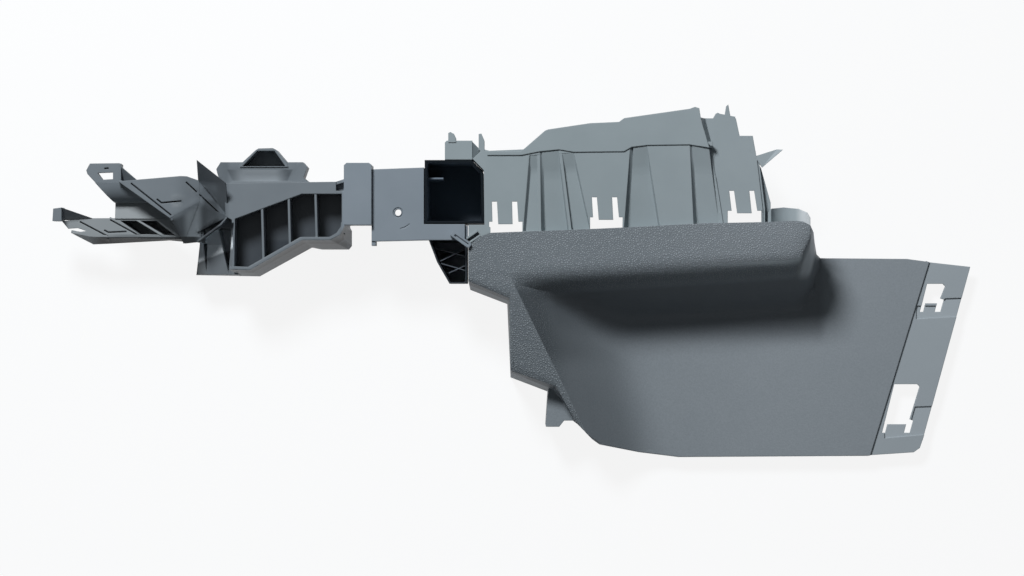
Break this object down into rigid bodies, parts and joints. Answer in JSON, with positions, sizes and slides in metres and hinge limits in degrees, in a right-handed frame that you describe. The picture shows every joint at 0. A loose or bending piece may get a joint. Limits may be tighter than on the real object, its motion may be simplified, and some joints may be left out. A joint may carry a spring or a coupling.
{
  "type": "car luggage bay side trim",
  "caption": "Moulded side trim panel with a recess under a grained ledge, clip windows, a ribbed support arm ending in a fork, and a black pocket insert",
  "frame": {"origin": "centre of the screw hole in the arm's rail, on the rail's top face", "axes": "+Z out of the screw hole, towards the show face; +X along the trim from the arm to the panel's flange; +Y towards the mounting plate's upper flange"},
  "size_m": [0.746, 0.2869, 0.086],
  "materials": {
    "grained_panel": "slate grey moulded plastic, fine leather grain on the show face, smooth behind",
    "smooth_arm": "slate grey moulded plastic, smooth satin",
    "pocket_black": "black moulded plastic, matte"
  },
  "bodies": {
    "root": {"side_panel": "grained_panel", "support_arm": "smooth_arm", "pocket_insert": "pocket_black"}
  },
  "joints": []
}
